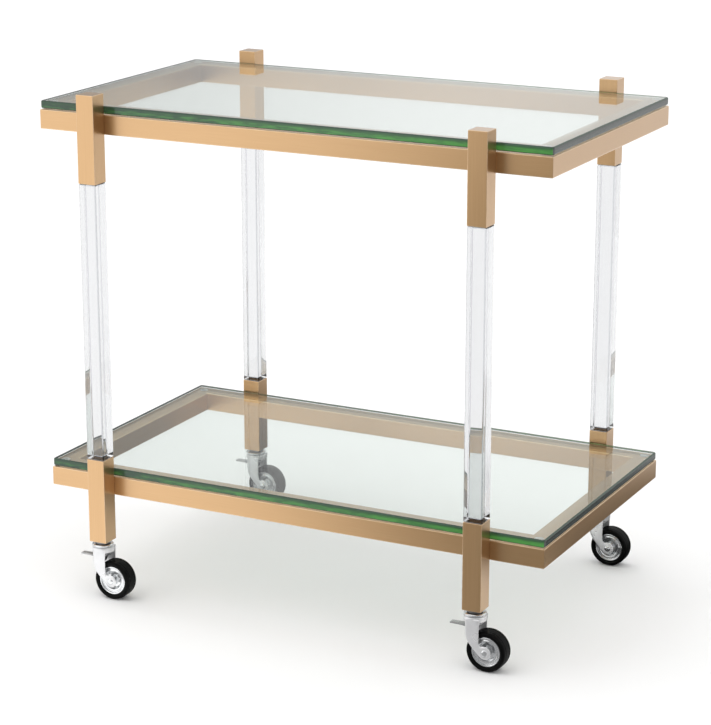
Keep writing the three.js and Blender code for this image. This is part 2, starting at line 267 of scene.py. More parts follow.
# ------------------------------------------------------------------ shelf frames
# Each shelf has four lengths of 30 mm square brass tube, mitred and brazed at the corners, then
# brushed along their length and lacquered.
RAIL_SIZE = 30 * MM
RAIL_EDGE = 1.3 * MM
MITRE_GAP = 0.2 * MM
MITRE_SEAM = 0.12 * MM
BRASS_LIGHT = (0.64, 0.405, 0.205, 1)
BRASS_DEEP = (0.51, 0.305, 0.135, 1)
# The painted highlight colour that the brass takes on its rounded edges.
BRASS_PAINTED_HIGHLIGHT = (0.84, 0.62, 0.40, 1)
BRASS_ROUGH = (0.26, 0.44)
BRASS_SCRATCH = 0.04 * MM
LACQUER = 0.95
LACQUER_ROUGH = 0.2
WEAR_PATCH = 60.0
BRUSHED_ACROSS = 2000.0
BRUSHED_ALONG = 14.0
CLOUD_ACROSS = 22.0
CLOUD_ALONG = 2.0
EASED_EDGE = "eased_edge"
ALIGNED = 0.99


def add_sockets(group, inputs, outputs):
    """Names a node group's inputs, each with its starting value, and its outputs."""
    for name, kind, value in inputs:
        socket = group.interface.new_socket(name=name, in_out="INPUT", socket_type=kind)
        if value is not None:
            socket.default_value = value
    for name, kind in outputs:
        group.interface.new_socket(name=name, in_out="OUTPUT", socket_type=kind)


def make_grain_group():
    """Fine scratches drawn out along one way, with slow clouds of tarnish over them."""
    group = bpy.data.node_groups.new("brushed_grain", "ShaderNodeTree")
    add_sockets(
        group,
        [
            ("Vector", "NodeSocketVector", None),
            ("Stretch", "NodeSocketVector", (20.0, 900.0, 900.0)),
            ("Cloud Stretch", "NodeSocketVector", (9.0, 9.0, 9.0)),
        ],
        [("Grain", "NodeSocketFloat"), ("Cloud", "NodeSocketFloat")],
    )
    nodes, links = group.nodes, group.links
    given = nodes.new("NodeGroupInput")
    result = nodes.new("NodeGroupOutput")
    for stretch, detail, made in (("Stretch", 3.0, "Grain"), ("Cloud Stretch", 4.0, "Cloud")):
        drawn = nodes.new("ShaderNodeVectorMath")
        drawn.operation = "MULTIPLY"
        noise = nodes.new("ShaderNodeTexNoise")
        noise.inputs["Scale"].default_value = 1.0
        noise.inputs["Detail"].default_value = detail
        links.new(given.outputs["Vector"], drawn.inputs[0])
        links.new(given.outputs[stretch], drawn.inputs[1])
        links.new(drawn.outputs["Vector"], noise.inputs["Vector"])
        links.new(noise.outputs["Fac"], result.inputs[made])
    return group


def make_wear_and_highlight_group():
    """Breaks an edge mask up with noise, as hands and cloths rub a finish off unevenly; on brass it
    places a painted highlight.
    """
    group = bpy.data.node_groups.new("edge_wear_and_highlight", "ShaderNodeTree")
    add_sockets(
        group,
        [("Vector", "NodeSocketVector", None), ("Edge", "NodeSocketFloat", 0.0)],
        [("Patched Edge", "NodeSocketFloat")],
    )
    nodes, links = group.nodes, group.links
    given = nodes.new("NodeGroupInput")
    result = nodes.new("NodeGroupOutput")
    patch = nodes.new("ShaderNodeTexNoise")
    patch.inputs["Scale"].default_value = WEAR_PATCH
    edge_patched = nodes.new("ShaderNodeMath")
    edge_patched.operation = "MULTIPLY"
    links.new(given.outputs["Vector"], patch.inputs["Vector"])
    links.new(given.outputs["Edge"], edge_patched.inputs[0])
    links.new(patch.outputs["Fac"], edge_patched.inputs[1])
    links.new(edge_patched.outputs["Value"], result.inputs["Patched Edge"])
    return group


grain_group = make_grain_group()
wear_and_highlight_group = make_wear_and_highlight_group()


def place_group(nodes, group):
    """Puts a node group into a material."""
    node = nodes.new("ShaderNodeGroup")
    node.node_tree = group
    return node


def mixed(nodes, links, factor, first, second):
    """A colour between first and second; each is a colour or another node's output."""
    mix = nodes.new("ShaderNodeMix")
    mix.data_type = "RGBA"
    links.new(factor, mix.inputs["Factor"])
    for socket, value in ((mix.inputs["A"], first), (mix.inputs["B"], second)):
        if isinstance(value, tuple):
            socket.default_value = value
        else:
            links.new(value, socket)
    return mix.outputs["Result"]


def ranged(nodes, links, source, low, high, from_low=0.0, from_high=1.0):
    """A number carried from one range to another."""
    node = nodes.new("ShaderNodeMapRange")
    node.inputs["From Min"].default_value = from_low
    node.inputs["From Max"].default_value = from_high
    node.inputs["To Min"].default_value = low
    node.inputs["To Max"].default_value = high
    links.new(source, node.inputs["Value"])
    return node.outputs["Result"]


def bumped(nodes, links, shader, height, strength, distance):
    """Raises a surface by a height map, up to a distance."""
    bump = nodes.new("ShaderNodeBump")
    bump.inputs["Strength"].default_value = strength
    bump.inputs["Distance"].default_value = distance
    links.new(height, bump.inputs["Height"])
    links.new(bump.outputs["Normal"], shader.inputs["Normal"])


def brushed_brass(name, along):
    """Satin brass, brushed along axis 0, 1 or 2, under clear lacquer, with a painted highlight in
    patches on its rounded edges.
    """
    material, nodes, links, shader, output = new_material(name)
    where = nodes.new("ShaderNodeTexCoord")
    grain = place_group(nodes, grain_group)
    stretch = [BRUSHED_ACROSS] * 3
    stretch[along] = BRUSHED_ALONG
    grain.inputs["Stretch"].default_value = stretch
    cloud_stretch = [CLOUD_ACROSS] * 3
    cloud_stretch[along] = CLOUD_ALONG
    grain.inputs["Cloud Stretch"].default_value = cloud_stretch
    edge_patches = place_group(nodes, wear_and_highlight_group)
    eased = nodes.new("ShaderNodeAttribute")
    eased.attribute_name = EASED_EDGE
    links.new(eased.outputs["Fac"], edge_patches.inputs["Edge"])
    links.new(where.outputs["Object"], grain.inputs["Vector"])
    links.new(where.outputs["Object"], edge_patches.inputs["Vector"])
    streak = ranged(nodes, links, grain.outputs["Grain"], 0.2, 0.8, 0.2, 0.8)
    brushed = mixed(nodes, links, streak, BRASS_DEEP, BRASS_LIGHT)
    cloud = ranged(nodes, links, grain.outputs["Cloud"], 0.0, 0.5, 0.4, 0.75)
    clouded = mixed(nodes, links, cloud, brushed, BRASS_DEEP)
    # Painted highlight: the rounded edges take a pale highlight colour, in noisy patches.
    edge_patched = mixed(nodes, links, edge_patches.outputs["Patched Edge"], clouded, BRASS_PAINTED_HIGHLIGHT)
    links.new(edge_patched, shader.inputs["Base Color"])
    rough = ranged(nodes, links, grain.outputs["Grain"], *BRASS_ROUGH)
    links.new(rough, shader.inputs["Roughness"])
    bumped(nodes, links, shader, grain.outputs["Grain"], 0.25, BRASS_SCRATCH)
    shader.inputs["Metallic"].default_value = 1.0
    shader.inputs["Coat Weight"].default_value = LACQUER
    shader.inputs["Coat Roughness"].default_value = LACQUER_ROUGH
    return material


brass_along_x = brushed_brass("brass_brushed_along_x", 0)
brass_along_y = brushed_brass("brass_brushed_along_y", 1)


def bevel_edges(shape, edges, width, segments):
    """Rounds edges over."""
    bmesh.ops.bevel(
        shape,
        geom=edges,
        offset=width,
        offset_type="OFFSET",
        segments=segments,
        profile=0.5,
        affect="EDGES",
        material=-1,
        clamp_overlap=True,
    )


def block_shape(size_x, size_y, size_z):
    """A plain block about the origin."""
    shape = bmesh.new()
    bmesh.ops.create_cube(shape, size=1.0)
    bmesh.ops.scale(shape, vec=(size_x, size_y, size_z), verts=shape.verts)
    return shape


def edges_along(shape, axis):
    """The straight edges that run along X, Y or Z."""
    found = []
    for edge in shape.edges:
        way = (edge.verts[1].co - edge.verts[0].co).normalized()
        if abs(way[axis]) > ALIGNED:
            found.append(edge)
    return found


def moved(shape, place, turn=0.0):
    """Turns a shape about Z and then carries it to its place."""
    about_z = Matrix.Rotation(turn, 3, "Z")
    bmesh.ops.rotate(shape, cent=(0, 0, 0), matrix=about_z, verts=shape.verts)
    bmesh.ops.translate(shape, vec=place, verts=shape.verts)
    return shape


def make_piece(name, shape, materials, body, nodes, smooth_angle=38):
    """Turns a shape into a named piece that stands for its CAD nodes and moves with a body."""
    bmesh.ops.recalc_face_normals(shape, faces=shape.faces)
    mesh = bpy.data.meshes.new(name)
    shape.to_mesh(mesh)
    shape.free()
    for material in materials:
        mesh.materials.append(material)
    mesh.shade_smooth()
    mesh.set_sharp_from_angle(angle=radians(smooth_angle))
    eased = mesh.attributes.new(EASED_EDGE, "FLOAT", "FACE")
    for face, mark in zip(mesh.polygons, eased.data):
        mark.value = float(max(abs(part) for part in face.normal) < ALIGNED)
    piece = bpy.data.objects.new(name, mesh)
    scene.collection.objects.link(piece)
    weighted = piece.modifiers.new("even_normals", "WEIGHTED_NORMAL")
    weighted.keep_sharp = True
    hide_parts(*nodes)
    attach(piece, body)
    return piece


def mitred_rail(length):
    """A square tube along X, its long side facing -Y and its ends cut at 45 degrees."""
    shape = block_shape(length, RAIL_SIZE, RAIL_SIZE)
    bevel_edges(shape, edges_along(shape, 0), RAIL_EDGE, 4)
    for end in (-1, 1):
        bmesh.ops.bisect_plane(
            shape,
            geom=shape.verts[:] + shape.edges[:] + shape.faces[:],
            plane_co=(end * (length / 2 - MITRE_SEAM), -RAIL_SIZE / 2, 0),
            plane_no=(end, 1, 0),
            clear_outer=True,
        )
        cut = [edge for edge in shape.edges if edge.is_boundary]
        bmesh.ops.holes_fill(shape, edges=cut)
    return shape


for level in ("lower", "top"):
    for side, turn, material in (
        ("front", 0.0, brass_along_x),
        ("right", pi / 2, brass_along_y),
        ("back", pi, brass_along_x),
        ("left", -pi / 2, brass_along_y),
    ):
        node = f"{level}_rail_{side}"
        low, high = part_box(node)
        length = max(high.x - low.x, high.y - low.y) + 2 * MITRE_GAP
        rail = moved(mitred_rail(length), (low + high) / 2, turn)
        make_piece(f"{node}_tube", rail, [material], "cart_frame", [node])

# ------------------------------------------------------------------ glass shelves
# A plate of 12 mm float glass lies on each frame, with its corners eased and its edges ground
# round and polished. The iron in the glass makes it green wherever light runs a long way in it.
# The edges' light and dark are painted into their colour: dark teal to bright green on the long
# edges, grey on the ends and darkest on the rounded arrises, lighter towards +X and over the lower
# half of each edge. This stands in for the light that runs through the plate.
GLASS_CORNER = 5 * MM
GLASS_ARRIS = 2.4 * MM
GLASS_IOR = 1.52
GLASS_FACE = (0.872, 0.930, 0.900, 1)
EDGE_TEAL = (0.028, 0.070, 0.040, 1)
EDGE_GREEN = (0.070, 0.275, 0.055, 1)
END_GREY = (0.065, 0.075, 0.07, 1)
END_DEEP = (0.035, 0.042, 0.038, 1)
ARRIS_DARK = (0.02, 0.05, 0.03, 1)
UP_THE_EDGE = "up_the_edge"
EDGE_STREAKS = (14.0, 14.0, 420.0)
EDGE_MOTTLE = (42.0, 42.0, 260.0)
LEVEL_WITHIN = 1e-7
SLOPING = 0.45
FACING_END = 0.7


def float_glass():
    """The plate's two broad faces: almost clear, with faint smears from wiping."""
    material, nodes, links, shader, output = new_material("float_glass")
    where = nodes.new("ShaderNodeTexCoord")
    smear = nodes.new("ShaderNodeTexNoise")
    smear.inputs["Scale"].default_value = 7.0
    smear.inputs["Detail"].default_value = 5.0
    smear.inputs["Distortion"].default_value = 1.5
    wave = nodes.new("ShaderNodeTexNoise")
    wave.inputs["Scale"].default_value = 2.5
    links.new(where.outputs["Object"], smear.inputs["Vector"])
    links.new(where.outputs["Object"], wave.inputs["Vector"])
    rough = ranged(nodes, links, smear.outputs["Fac"], 0.0, 0.03, 0.5, 0.8)
    links.new(rough, shader.inputs["Roughness"])
    bumped(nodes, links, shader, wave.outputs["Fac"], 0.05, 0.0005)
    shader.inputs["Base Color"].default_value = GLASS_FACE
    shader.inputs["Transmission Weight"].default_value = 1.0
    shader.inputs["IOR"].default_value = GLASS_IOR
    return material


def glass_edge(name, dark, light):
    """The ground and polished edge, which gathers the green of the whole plate, with its light and
    dark painted in.
    """
    material, nodes, links, shader, output = new_material(name)
    where = nodes.new("ShaderNodeTexCoord")
    parts = nodes.new("ShaderNodeSeparateXYZ")
    streak = nodes.new("ShaderNodeTexNoise")
    streak.inputs["Scale"].default_value = 1.0
    streak.inputs["Detail"].default_value = 4.0
    drawn = nodes.new("ShaderNodeMapping")
    drawn.inputs["Scale"].default_value = EDGE_STREAKS
    mottle = nodes.new("ShaderNodeTexNoise")
    mottle.inputs["Scale"].default_value = 1.0
    mottle.inputs["Detail"].default_value = 3.0
    spread = nodes.new("ShaderNodeMapping")
    spread.inputs["Scale"].default_value = EDGE_MOTTLE
    rise = nodes.new("ShaderNodeAttribute")
    rise.attribute_name = UP_THE_EDGE
    mottle_and_painted_fade = nodes.new("ShaderNodeMath")
    mottle_and_painted_fade.use_clamp = True
    painted_edge_light_and_mottle = nodes.new("ShaderNodeMath")
    painted_edge_light_and_mottle.operation = "MULTIPLY"
    links.new(where.outputs["Object"], parts.inputs["Vector"])
    links.new(where.outputs["Object"], drawn.inputs["Vector"])
    links.new(where.outputs["Object"], spread.inputs["Vector"])
    links.new(drawn.outputs["Vector"], streak.inputs["Vector"])
    links.new(spread.outputs["Vector"], mottle.inputs["Vector"])
    # Painted light: the edge colour grows lighter towards +X, broken up by a mottle.
    along = ranged(nodes, links, parts.outputs["X"], -0.20, 0.75, -0.40, 0.40)
    links.new(ranged(nodes, links, mottle.outputs["Fac"], 0.0, 0.6, 0.35, 0.65), mottle_and_painted_fade.inputs[0])
    links.new(along, mottle_and_painted_fade.inputs[1])
    links.new(mottle_and_painted_fade.outputs["Value"], painted_edge_light_and_mottle.inputs[0])
    # Painted light: a lighter band over the lower half of the edge, darker towards the top.
    painted_low_band = ranged(nodes, links, rise.outputs["Fac"], 1.0, 0.15, 0.50, 0.78)
    links.new(painted_low_band, painted_edge_light_and_mottle.inputs[1])
    colour = mixed(nodes, links, painted_edge_light_and_mottle.outputs["Value"], dark, light)
    links.new(colour, shader.inputs["Base Color"])
    links.new(ranged(nodes, links, streak.outputs["Fac"], 0.05, 0.16), shader.inputs["Roughness"])
    bumped(nodes, links, shader, streak.outputs["Fac"], 0.15, 0.0001)
    shader.inputs["IOR"].default_value = GLASS_IOR
    return material


glass = float_glass()
long_edge = glass_edge("glass_edge_long", EDGE_TEAL, EDGE_GREEN)
short_edge = glass_edge("glass_edge_short", END_DEEP, END_GREY)
arris = glass_edge("glass_arris", ARRIS_DARK, EDGE_TEAL)

for level in ("lower", "top"):
    node = f"{level}_glass"
    low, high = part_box(node)
    size = high - low
    plate = block_shape(size.x, size.y, size.z)
    bevel_edges(plate, edges_along(plate, 2), GLASS_CORNER, 6)
    rim = []
    for edge in plate.edges:
        if abs(edge.verts[0].co.z - edge.verts[1].co.z) < LEVEL_WITHIN:
            rim.append(edge)
    bevel_edges(plate, rim, GLASS_ARRIS, 4)
    plate.normal_update()
    for face in plate.faces:
        if abs(face.normal.z) > ALIGNED:
            face.material_index = 0
        elif abs(face.normal.z) > SLOPING:
            face.material_index = 3
        elif abs(face.normal.x) > FACING_END:
            face.material_index = 2
        else:
            face.material_index = 1
    moved(plate, (low + high) / 2)
    finishes = [glass, long_edge, short_edge, arris]
    piece = make_piece(f"{level}_glass_plate", plate, finishes, "cart_frame", [node])
    rise = piece.data.attributes.new(UP_THE_EDGE, "FLOAT", "POINT")
    for point, mark in zip(piece.data.vertices, rise.data):
        mark.value = (point.co.z - low.z) / size.z
    piece.visible_shadow = False

# ------------------------------------------------------------------ bumpers under the glass
# Small clear silicone discs, stuck to the frames over the mitres. They keep the glass off the
# brass and stop it sliding.
SILICONE_TINT = (0.93, 0.95, 0.95, 1)
SILICONE_IOR = 1.41
BUMPER_CROWN = 0.3 * MM
CORNERS = ("front_left", "front_right", "back_left", "back_right")


def clear_silicone():
    """Clear silicone with a fine moulded haze."""
    material, nodes, links, shader, output = new_material("clear_silicone")
    where = nodes.new("ShaderNodeTexCoord")
    haze = nodes.new("ShaderNodeTexNoise")
    haze.inputs["Scale"].default_value = 400.0
    links.new(where.outputs["Object"], haze.inputs["Vector"])
    links.new(ranged(nodes, links, haze.outputs["Fac"], 0.25, 0.5), shader.inputs["Roughness"])
    bumped(nodes, links, shader, haze.outputs["Fac"], 0.2, 0.0001)
    shader.inputs["Base Color"].default_value = SILICONE_TINT
    shader.inputs["Transmission Weight"].default_value = 0.85
    shader.inputs["IOR"].default_value = SILICONE_IOR
    return material


silicone = clear_silicone()

for level in ("lower", "top"):
    for corner in CORNERS:
        node = f"{level}_pad_{corner}"
        low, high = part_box(node)
        disc = bmesh.new()
        radius = (high.x - low.x) / 2
        height = high.z - low.z
        bmesh.ops.create_cone(
            disc, cap_ends=True, segments=40, radius1=radius, radius2=radius, depth=height
        )
        crown = [edge for edge in disc.edges if edge.verts[0].co.z > 0 and edge.verts[1].co.z > 0]
        bevel_edges(disc, crown, BUMPER_CROWN, 3)
        moved(disc, (low + high) / 2)
        make_piece(
            f"{level}_bumper_{corner}", disc, [silicone], "cart_frame", [node]
        )

# ------------------------------------------------------------------ post blocks
# Square brass tube of the rail's own size, one end closed and ground flush, the other end open
# for the acrylic bar. They are brushed up and down and screwed to the rails from inside.
BLOCK_EDGE = 0.8 * MM
BLOCK_WALL = 3 * MM
LOWER_CLOSED_END = 14 * MM
TOP_CLOSED_END = 4 * MM
brass_along_z = brushed_brass("brass_brushed_along_z", 2)


def end_face(shape, way):
    """The biggest face that looks up (way 1) or down (way -1)."""
    flat = [face for face in shape.faces if face.normal.z * way > ALIGNED]
    return max(flat, key=lambda face: face.calc_area())


def push_face(shape, face, inset, travel):
    """Insets a face by a margin and draws the middle up or down, leaving it as one face."""
    bmesh.ops.inset_individual(shape, faces=[face], thickness=inset, use_even_offset=True)
    drawn = bmesh.ops.extrude_discrete_faces(shape, faces=[face])["faces"][0]
    bmesh.ops.translate(shape, vec=(0, 0, travel), verts=drawn.verts)
    return drawn


def socket_block(size, open_way, depth):
    """A square tube closed at one end, its open end looking up (1) or down (-1)."""
    shape = block_shape(size.x, size.y, size.z)
    bevel_edges(shape, shape.edges[:], BLOCK_EDGE, 3)
    shape.normal_update()
    push_face(shape, end_face(shape, open_way), BLOCK_WALL - BLOCK_EDGE, -open_way * depth)
    return shape


for corner in CORNERS:
    for part, open_way, closed in (
        ("lower_block", 1, LOWER_CLOSED_END),
        ("top_block", -1, TOP_CLOSED_END),
    ):
        node = f"{corner}_{part}"
        low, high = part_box(node)
        size = high - low
        block = moved(socket_block(size, open_way, size.z - closed), (low + high) / 2)
        make_piece(f"{node}_brass", block, [brass_along_z], "cart_frame", [node])

# ------------------------------------------------------------------ acrylic bars
# Cast acrylic bars of the blocks' size, diamond-cut and polished, with every edge chamfered. A
# reduced length at each end stands in the brass.
BAR_CHAMFER = 2.0 * MM
SPIGOT_LENGTH = 25 * MM
SPIGOT_SIDE = 23.4 * MM
ACRYLIC_IOR = 1.49
ACRYLIC_TINT = (0.775, 0.78, 0.79, 1)
CHAMFER_PAINTED_SHADE = (0.50, 0.51, 0.54, 1)


def cast_acrylic(name, tint):
    """Clear acrylic with a faint haze of fine scratches and the slow ripple of hand polishing."""
    material, nodes, links, shader, output = new_material(name)
    where = nodes.new("ShaderNodeTexCoord")
    haze = nodes.new("ShaderNodeTexNoise")
    haze.inputs["Scale"].default_value = 30.0
    haze.inputs["Detail"].default_value = 4.0
    links.new(where.outputs["Object"], haze.inputs["Vector"])
    rough = ranged(nodes, links, haze.outputs["Fac"], 0.0, 0.03, 0.45, 0.8)
    links.new(rough, shader.inputs["Roughness"])
    ripple = nodes.new("ShaderNodeTexNoise")
    ripple.inputs["Scale"].default_value = 14.0
    links.new(where.outputs["Object"], ripple.inputs["Vector"])
    bumped(nodes, links, shader, ripple.outputs["Fac"], 0.06, 0.0006)
    shader.inputs["Base Color"].default_value = tint
    shader.inputs["Transmission Weight"].default_value = 1.0
    shader.inputs["IOR"].default_value = ACRYLIC_IOR
    return material


acrylic = cast_acrylic("cast_acrylic", ACRYLIC_TINT)
# Painted shade: the chamfers get a darker copy of the clear acrylic, for the dark lines they show.
acrylic_edge = cast_acrylic("acrylic_chamfer", CHAMFER_PAINTED_SHADE)

for corner in CORNERS:
    node = f"{corner}_acrylic_bar"
    low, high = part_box(node)
    size = high - low
    bar = block_shape(size.x, size.y, size.z - 2 * SPIGOT_LENGTH)
    bevel_edges(bar, bar.edges[:], BAR_CHAMFER, 3)
    bar.normal_update()
    for face in bar.faces:
        if max(abs(part) for part in face.normal) < ALIGNED:
            face.material_index = 1
    for way in (-1, 1):
        margin = (size.x - SPIGOT_SIDE) / 2 - BAR_CHAMFER
        push_face(bar, end_face(bar, way), margin, way * SPIGOT_LENGTH)
    moved(bar, (low + high) / 2)
    finishes = [acrylic, acrylic_edge]
    piece = make_piece(f"{corner}_acrylic_post", bar, finishes, "cart_frame", [node])
    piece.visible_shadow = False

# ------------------------------------------------------------------ caster stems and bearing rings
# A turned steel kingpin screws into each bottom block. Its shoulder shows as a narrow neck over a
# chromed bearing ring, and a riveted head under the crown carries the fork. The kingpin's brownish
# near-black is painted shade, for the gap between the block and the ring.
# Profiles are in millimetres: radius, then height over the floor.
WELD = 1e-6
STEEL_WORN = (0.9, 0.9, 0.9, 1)
STEEL_SCRATCH = 0.03 * MM
PLATE_CLOUD = 45.0


def post_foot(corner):
    """The point on the floor under the middle of a post."""
    low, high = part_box(f"{corner}_lower_block")
    return Vector(((low.x + high.x) / 2, (low.y + high.y) / 2, 0))


def turned_shape(profile, steps, axis):
    """Spins a profile of (radius, height) points round Z or Y, and closes it on itself."""
    shape = bmesh.new()
    points = [shape.verts.new((radius * MM, 0, height * MM)) for radius, height in profile]
    for first, second in zip(points, points[1:] + points[:1]):
        shape.edges.new((first, second))
    bmesh.ops.spin(
        shape,
        geom=shape.verts[:] + shape.edges[:],
        cent=(0, 0, 0),
        axis=(0, 0, 1),
        angle=2 * pi,
        steps=steps,
        use_merge=True,
    )
    bmesh.ops.remove_doubles(shape, verts=shape.verts, dist=WELD)
    if axis == "Y":
        turn = Matrix.Rotation(pi / 2, 3, "X")
        bmesh.ops.rotate(shape, cent=(0, 0, 0), matrix=turn, verts=shape.verts)
    return shape


def soft_corners(profile, width):
    """Cuts every corner of a profile back by a width in two steps, as turning and polishing do."""
    soft = []
    count = len(profile)
    for i, here in enumerate(profile):
        here = Vector(here)
        before = Vector(profile[i - 1]) - here
        after = Vector(profile[(i + 1) % count]) - here
        cut = min(width, before.length * 0.45, after.length * 0.45)
        start = here + before.normalized() * cut
        end = here + after.normalized() * cut
        soft += [tuple(start), tuple((start + end + 2 * here) / 4), tuple(end)]
    return soft


def sharp_rims(nodes, links):
    """A mask of the outward corners of a finely divided shape."""
    shape = nodes.new("ShaderNodeNewGeometry")
    return ranged(nodes, links, shape.outputs["Pointiness"], 0.0, 1.0, 0.52, 0.60)


def plated_steel(name, colour, dull, rough_low, rough_high, scratch_scale, metallic=1.0):
    """Plated steel, or the kingpin's steel in a near-black painted as shade: cloudy shine, faint
    scratches and worn, brighter edges.
    """
    material, nodes, links, shader, output = new_material(name)
    where = nodes.new("ShaderNodeTexCoord")
    grain = place_group(nodes, grain_group)
    grain.inputs["Stretch"].default_value = (scratch_scale, scratch_scale * 0.4, scratch_scale)
    grain.inputs["Cloud Stretch"].default_value = [PLATE_CLOUD] * 3
    edge_patches = place_group(nodes, wear_and_highlight_group)
    links.new(sharp_rims(nodes, links), edge_patches.inputs["Edge"])
    links.new(where.outputs["Object"], grain.inputs["Vector"])
    links.new(where.outputs["Object"], edge_patches.inputs["Vector"])
    cloud = ranged(nodes, links, grain.outputs["Cloud"], 0.0, 1.0, 0.35, 0.75)
    plate = mixed(nodes, links, cloud, colour, dull)
    edge_patched = mixed(nodes, links, edge_patches.outputs["Patched Edge"], plate, STEEL_WORN)
    links.new(edge_patched, shader.inputs["Base Color"])
    rough = ranged(nodes, links, grain.outputs["Cloud"], rough_low, rough_high, 0.3, 0.7)
    links.new(rough, shader.inputs["Roughness"])
    bumped(nodes, links, shader, grain.outputs["Grain"], 0.12, STEEL_SCRATCH)
    shader.inputs["Metallic"].default_value = metallic
    return material


polished_chrome = plated_steel(
    "polished_chrome", (0.80, 0.81, 0.82, 1), (0.66, 0.67, 0.68, 1), 0.07, 0.20, 900.0
)
# Painted shade: the kingpin's steel is a brownish near-black, for the shade in the gap between block
# and ring.
neck_shade_steel = plated_steel(
    "dark_steel_painted_shade", (0.10, 0.085, 0.075, 1), (0.05, 0.045, 0.04, 1), 0.28, 0.5, 1200.0
)

KINGPIN_RADIUS = 5
NECK_PROFILE = (
    (0.0, 76.5),
    (5.8, 76.5),
    (7.0, 77.7),
    (7.0, 79.7),
    (KINGPIN_RADIUS, 79.7),
    (KINGPIN_RADIUS, 87.8),
    (12.0, 87.8),
    (12.0, 91.7),
    (KINGPIN_RADIUS, 91.7),
    (KINGPIN_RADIUS, 111.0),
    (4.0, 112.0),
    (0.0, 112.0),
)
RING_PROFILE = (
    (5.3, 83.3),
    (15.4, 83.3),
    (17.0, 84.2),
    (17.0, 85.0),
    (16.3, 85.3),
    (17.0, 85.6),
    (17.0, 86.6),
    (15.6, 87.5),
    (13.2, 87.5),
    (12.8, 86.9),
    (5.3, 86.9),
)

for corner in CORNERS:
    node = f"{corner}_caster_stem"
    stem = moved(turned_shape(soft_corners(NECK_PROFILE, 0.35), 56, "Z"), post_foot(corner))
    make_piece(f"{corner}_kingpin", stem, [neck_shade_steel], "cart_frame", [node])

    node = f"{corner}_caster_ring"
    ring = moved(turned_shape(soft_corners(RING_PROFILE, 0.3), 72, "Z"), post_foot(corner))
    make_piece(
        f"{corner}_bearing_ring", ring, [polished_chrome], "cart_frame", [node]
    )

# ------------------------------------------------------------------ forks
# A pressed steel horn: a round cup under the bearing ring, and two legs that drop beside the
# tyre and sweep back to the axle. The edges are rolled over, and it's plated to a satin silver.
LEG_INSIDE = 14 * MM
LEG_THICKNESS = 3.0 * MM
LEG_ROLL = 4.0 * MM
LEG_LEFT = -9
LEG_RIGHT = 12.5
LEG_TOP = 81
BOSS = 10
AXLE_TRAIL = 22
AXLE_HEIGHT = 31
ARC_REACH = 0.5523
MERGE_SHARE = 0.04


def on_boss(angle):
    """The point on the round end of a leg at an angle, and the way round it there."""
    way = radians(angle)
    place = Vector((AXLE_TRAIL + BOSS * cos(way), AXLE_HEIGHT + BOSS * sin(way)))
    return place, Vector((-sin(way), cos(way))) * BOSS * ARC_REACH


def leg_outline():
    """Corners of a leg in X and Z, each with its curve handles before and after it."""
    rear, rear_way = on_boss(225)
    under, under_way = on_boss(315)
    front, front_way = on_boss(45)
    over, over_way = on_boss(120)
    return [
        ((LEG_LEFT, LEG_TOP), (LEG_LEFT + 8, LEG_TOP), (LEG_LEFT, LEG_TOP - 7)),
        ((LEG_LEFT, 57), (LEG_LEFT, 64), (LEG_LEFT, 45.9)),
        (rear, rear + Vector((-10, 10)), rear + rear_way),
        (under, under - under_way, under + under_way),
        (front, front - front_way, front + front_way * 0.83),
        (over, over - over_way * 0.83, over + Vector((-5, 0.4))),
        ((LEG_RIGHT, 55), (LEG_RIGHT, 46), (LEG_RIGHT, 64)),
        ((LEG_RIGHT + 1.5, LEG_TOP), (LEG_RIGHT + 0.2, 73), (LEG_RIGHT - 6, LEG_TOP)),
    ]


def cut_plate(outline, thickness, roll):
    """A plate in XZ, cut to an outline of curved sides, centred on Y, its edges rolled over.

    Points that the roll brings together at a sharp corner are merged.
    """
    curve = bpy.data.curves.new("outline", "CURVE")
    curve.dimensions = "2D"
    curve.fill_mode = "BOTH"
    curve.extrude = thickness / 2 - roll
    curve.bevel_depth = roll
    curve.bevel_resolution = 3
    curve.offset = -roll
    curve.resolution_u = 10
    spline = curve.splines.new("BEZIER")
    spline.bezier_points.add(len(outline) - 1)
    spline.use_cyclic_u = True
    for point, (place, before, after) in zip(spline.bezier_points, outline):
        point.handle_left_type = "FREE"
        point.handle_right_type = "FREE"
        point.co = (place[0] * MM, place[1] * MM, 0)
        point.handle_left = (before[0] * MM, before[1] * MM, 0)
        point.handle_right = (after[0] * MM, after[1] * MM, 0)
    holder = bpy.data.objects.new("outline", curve)
    mesh = bpy.data.meshes.new_from_object(holder)
    shape = bmesh.new()
    shape.from_mesh(mesh)
    bpy.data.objects.remove(holder)
    bpy.data.meshes.remove(mesh)
    bpy.data.curves.remove(curve)
    bmesh.ops.remove_doubles(shape, verts=shape.verts, dist=roll * MERGE_SHARE)
    turn = Matrix.Rotation(pi / 2, 3, "X")
    bmesh.ops.rotate(shape, cent=(0, 0, 0), matrix=turn, verts=shape.verts)
    return shape


def joined(*shapes):
    """One shape holding all of these, which are welded or pressed together on the real piece."""
    whole = bmesh.new()
    for shape in shapes:
        mesh = bpy.data.meshes.new("part")
        shape.to_mesh(mesh)
        shape.free()
        whole.from_mesh(mesh)
        bpy.data.meshes.remove(mesh)
    return whole


CUP_PROFILE = (
    (5.1, 83.0),
    (5.1, 80.0),
    (14.4, 80.0),
    (14.4, 74.5),
    (17.0, 74.5),
    (17.0, 81.6),
    (15.6, 83.0),
)

satin_silver = plated_steel(
    "satin_silver", (0.78, 0.78, 0.79, 1), (0.68, 0.68, 0.69, 1), 0.24, 0.38, 500.0, 0.55
)

